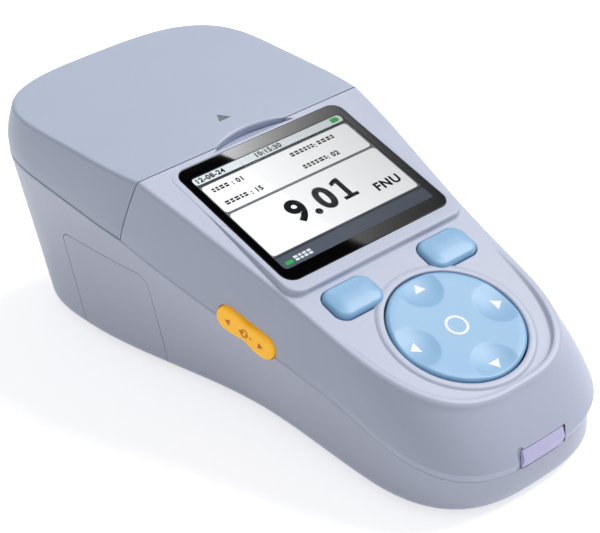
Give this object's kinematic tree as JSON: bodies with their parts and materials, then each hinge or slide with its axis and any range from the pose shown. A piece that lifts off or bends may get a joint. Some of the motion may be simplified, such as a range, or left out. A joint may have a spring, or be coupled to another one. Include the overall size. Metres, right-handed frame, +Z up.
{
  "type": "portable turbidity meter",
  "caption": "Hand-held light-scatter turbidity meter with a flip lid over the sample well, a colour screen, soft keys, a navigation disc and a side rocker.",
  "frame": {"origin": "middle of the footprint on the surface it stands on", "axes": "+Z up, +Y from the nose to the hinge at the rear, +X to the user's right"},
  "size_m": [0.115, 0.25, 0.0884],
  "materials": {
    "case_shell": "satin",
    "face_shell": "satin",
    "lid_shell": "satin",
    "flap_shell": "satin",
    "blue_key": "satin",
    "yellow_key": "satin",
    "black_glass": "polished",
    "display_glass": "polished",
    "lens_glass": "polished",
    "black_rubber": "matte",
    "grey_rubber": "matte",
    "black_plastic": "matte",
    "grey_plastic": "matte",
    "board_green": "satin",
    "cell_sleeve": "satin",
    "contact_metal": "bright",
    "steel": "satin"
  },
  "bodies": {
    "case": {"bottom_case": "case_shell", "top_case": "face_shell", "hinge_pin": "steel", "cell_deck": "black_plastic", "deck_screws": "steel", "well_seal": "black_rubber", "window": "black_glass", "display_panel": "display_glass", "display_frame": "steel", "main_board": "board_green", "board_parts": "black_plastic", "board_screws": "steel", "left_key_dome": "grey_rubber", "right_key_dome": "grey_rubber", "nav_domes": "grey_rubber", "key_board": "board_green", "key_board_screws": "steel", "rocker_pin": "steel", "rocker_bracket": "steel", "rocker_switches": "black_plastic", "port_flap_pin": "steel", "port_board": "board_green", "port_screws": "steel", "usb_port": "steel", "battery_tray": "grey_plastic", "batteries": "cell_sleeve", "contact_springs": "contact_metal", "optics_block": "black_plastic", "light_source": "grey_plastic", "source_lens": "lens_glass", "scatter_detector": "black_plastic", "scatter_lens": "lens_glass", "detector_board": "board_green", "through_detector": "black_plastic", "case_screws": "steel", "feet": "black_rubber"},
    "lid": {"lid": "lid_shell", "light_trap": "black_plastic"},
    "soft_key_left": {"soft_key_left": "blue_key"},
    "soft_key_right": {"soft_key_right": "blue_key"},
    "nav_plunger": {"nav_plunger": "grey_plastic"},
    "nav_cradle": {"nav_cradle": "grey_plastic"},
    "nav_disc": {"nav_disc": "blue_key"},
    "side_rocker": {"side_rocker": "yellow_key"},
    "port_flap": {"port_flap": "flap_shell"},
    "battery_cover": {"battery_cover": "case_shell", "cover_contacts": "contact_metal"}
  },
  "joints": [
    {"name": "lid_hinge", "type": "hinge", "parent": "case", "child": "lid", "pos_m": [0, 0.1218, 0.07213], "axis": [-1, 0, 0], "range_deg": [0, 105]},
    {"name": "left_key_press", "type": "slide", "parent": "case", "child": "soft_key_left", "axis": [0, 0.3486, -0.9373], "range_m": [0, 0.0007], "stiffness_N_per_m": 600, "springref_m": -0.0012, "deforming": ["left_key_dome"]},
    {"name": "right_key_press", "type": "slide", "parent": "case", "child": "soft_key_right", "axis": [0, 0.3486, -0.9373], "range_m": [0, 0.0007], "stiffness_N_per_m": 600, "springref_m": -0.0012, "deforming": ["right_key_dome"]},
    {"name": "nav_press", "type": "slide", "parent": "case", "child": "nav_plunger", "axis": [0, 0.3486, -0.9373], "range_m": [0, 0.0007], "stiffness_N_per_m": 900, "springref_m": -0.0012, "deforming": ["nav_domes"]},
    {"name": "nav_tilt_up_down", "type": "hinge", "parent": "nav_plunger", "child": "nav_cradle", "pos_m": [0, -0.08232, 0.04262], "axis": [1, 0, 0], "range_deg": [-2, 2], "stiffness_Nm_per_rad": 0.6},
    {"name": "nav_tilt_left_right", "type": "hinge", "parent": "nav_cradle", "child": "nav_disc", "pos_m": [0, -0.08232, 0.04262], "axis": [0, 0.9373, 0.3486], "range_deg": [-2, 2], "stiffness_Nm_per_rad": 0.6},
    {"name": "rocker_tilt", "type": "hinge", "parent": "case", "child": "side_rocker", "pos_m": [-0.04222, -0.02971, 0.04415], "axis": [0.0504, -0.3266, 0.9438], "range_deg": [-3, 3], "stiffness_Nm_per_rad": 0.5},
    {"name": "port_flap_hinge", "type": "hinge", "parent": "case", "child": "port_flap", "pos_m": [0.0084, -0.1221, 0.0132], "axis": [0, 0, 1], "range_deg": [0, 85]},
    {"name": "battery_cover_off", "type": "slide", "parent": "case", "child": "battery_cover", "axis": [-1, 0, 0], "range_m": [0, 0.045]}
  ]
}
